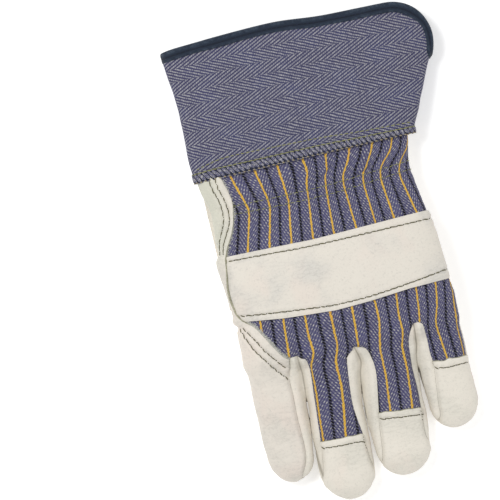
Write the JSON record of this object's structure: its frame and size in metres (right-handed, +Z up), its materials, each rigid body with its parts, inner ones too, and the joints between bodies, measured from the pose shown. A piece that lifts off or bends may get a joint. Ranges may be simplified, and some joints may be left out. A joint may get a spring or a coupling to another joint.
{
  "type": "fitters glove",
  "caption": "Leather palm work glove with a striped cloth back, knuckle strap and flared cloth cuff, lying back up on its folded thumb.",
  "frame": {"origin": "on the floor under the middle of the glove's outline", "axes": "+X to the little finger side, +Y to the cuff, +Z up from the floor out of the back of the hand"},
  "size_m": [0.1494, 0.2658, 0.0383],
  "materials": {
    "leather": "soft matt grain with suede edges",
    "ticking_cloth": "matt blue twill with yellow and black stripes",
    "cuff_cloth": "stiff matt herringbone in blue and pale grey",
    "binding_tape": "matt woven tape",
    "seam_thread": "overlocked thread over cloth",
    "welt_leather": "matt pale split leather"
  },
  "bodies": {
    "root": {"back_cloth": "ticking_cloth", "palm": "leather", "thumb_front": "leather", "thumb_back": "leather", "middle_front": "leather", "ring_front": "leather", "fourchette_index_middle": "leather", "fourchette_middle_ring": "leather", "fourchette_ring_little": "leather", "middle_cap": "leather", "ring_cap": "leather", "little_cap": "leather", "knuckle_strap": "leather", "cuff_patch": "leather", "cuff": "cuff_cloth", "cuff_binding_back": "binding_tape", "cuff_binding_palm": "binding_tape", "cuff_hem": "seam_thread", "finger_welt": "welt_leather"}
  },
  "joints": []
}
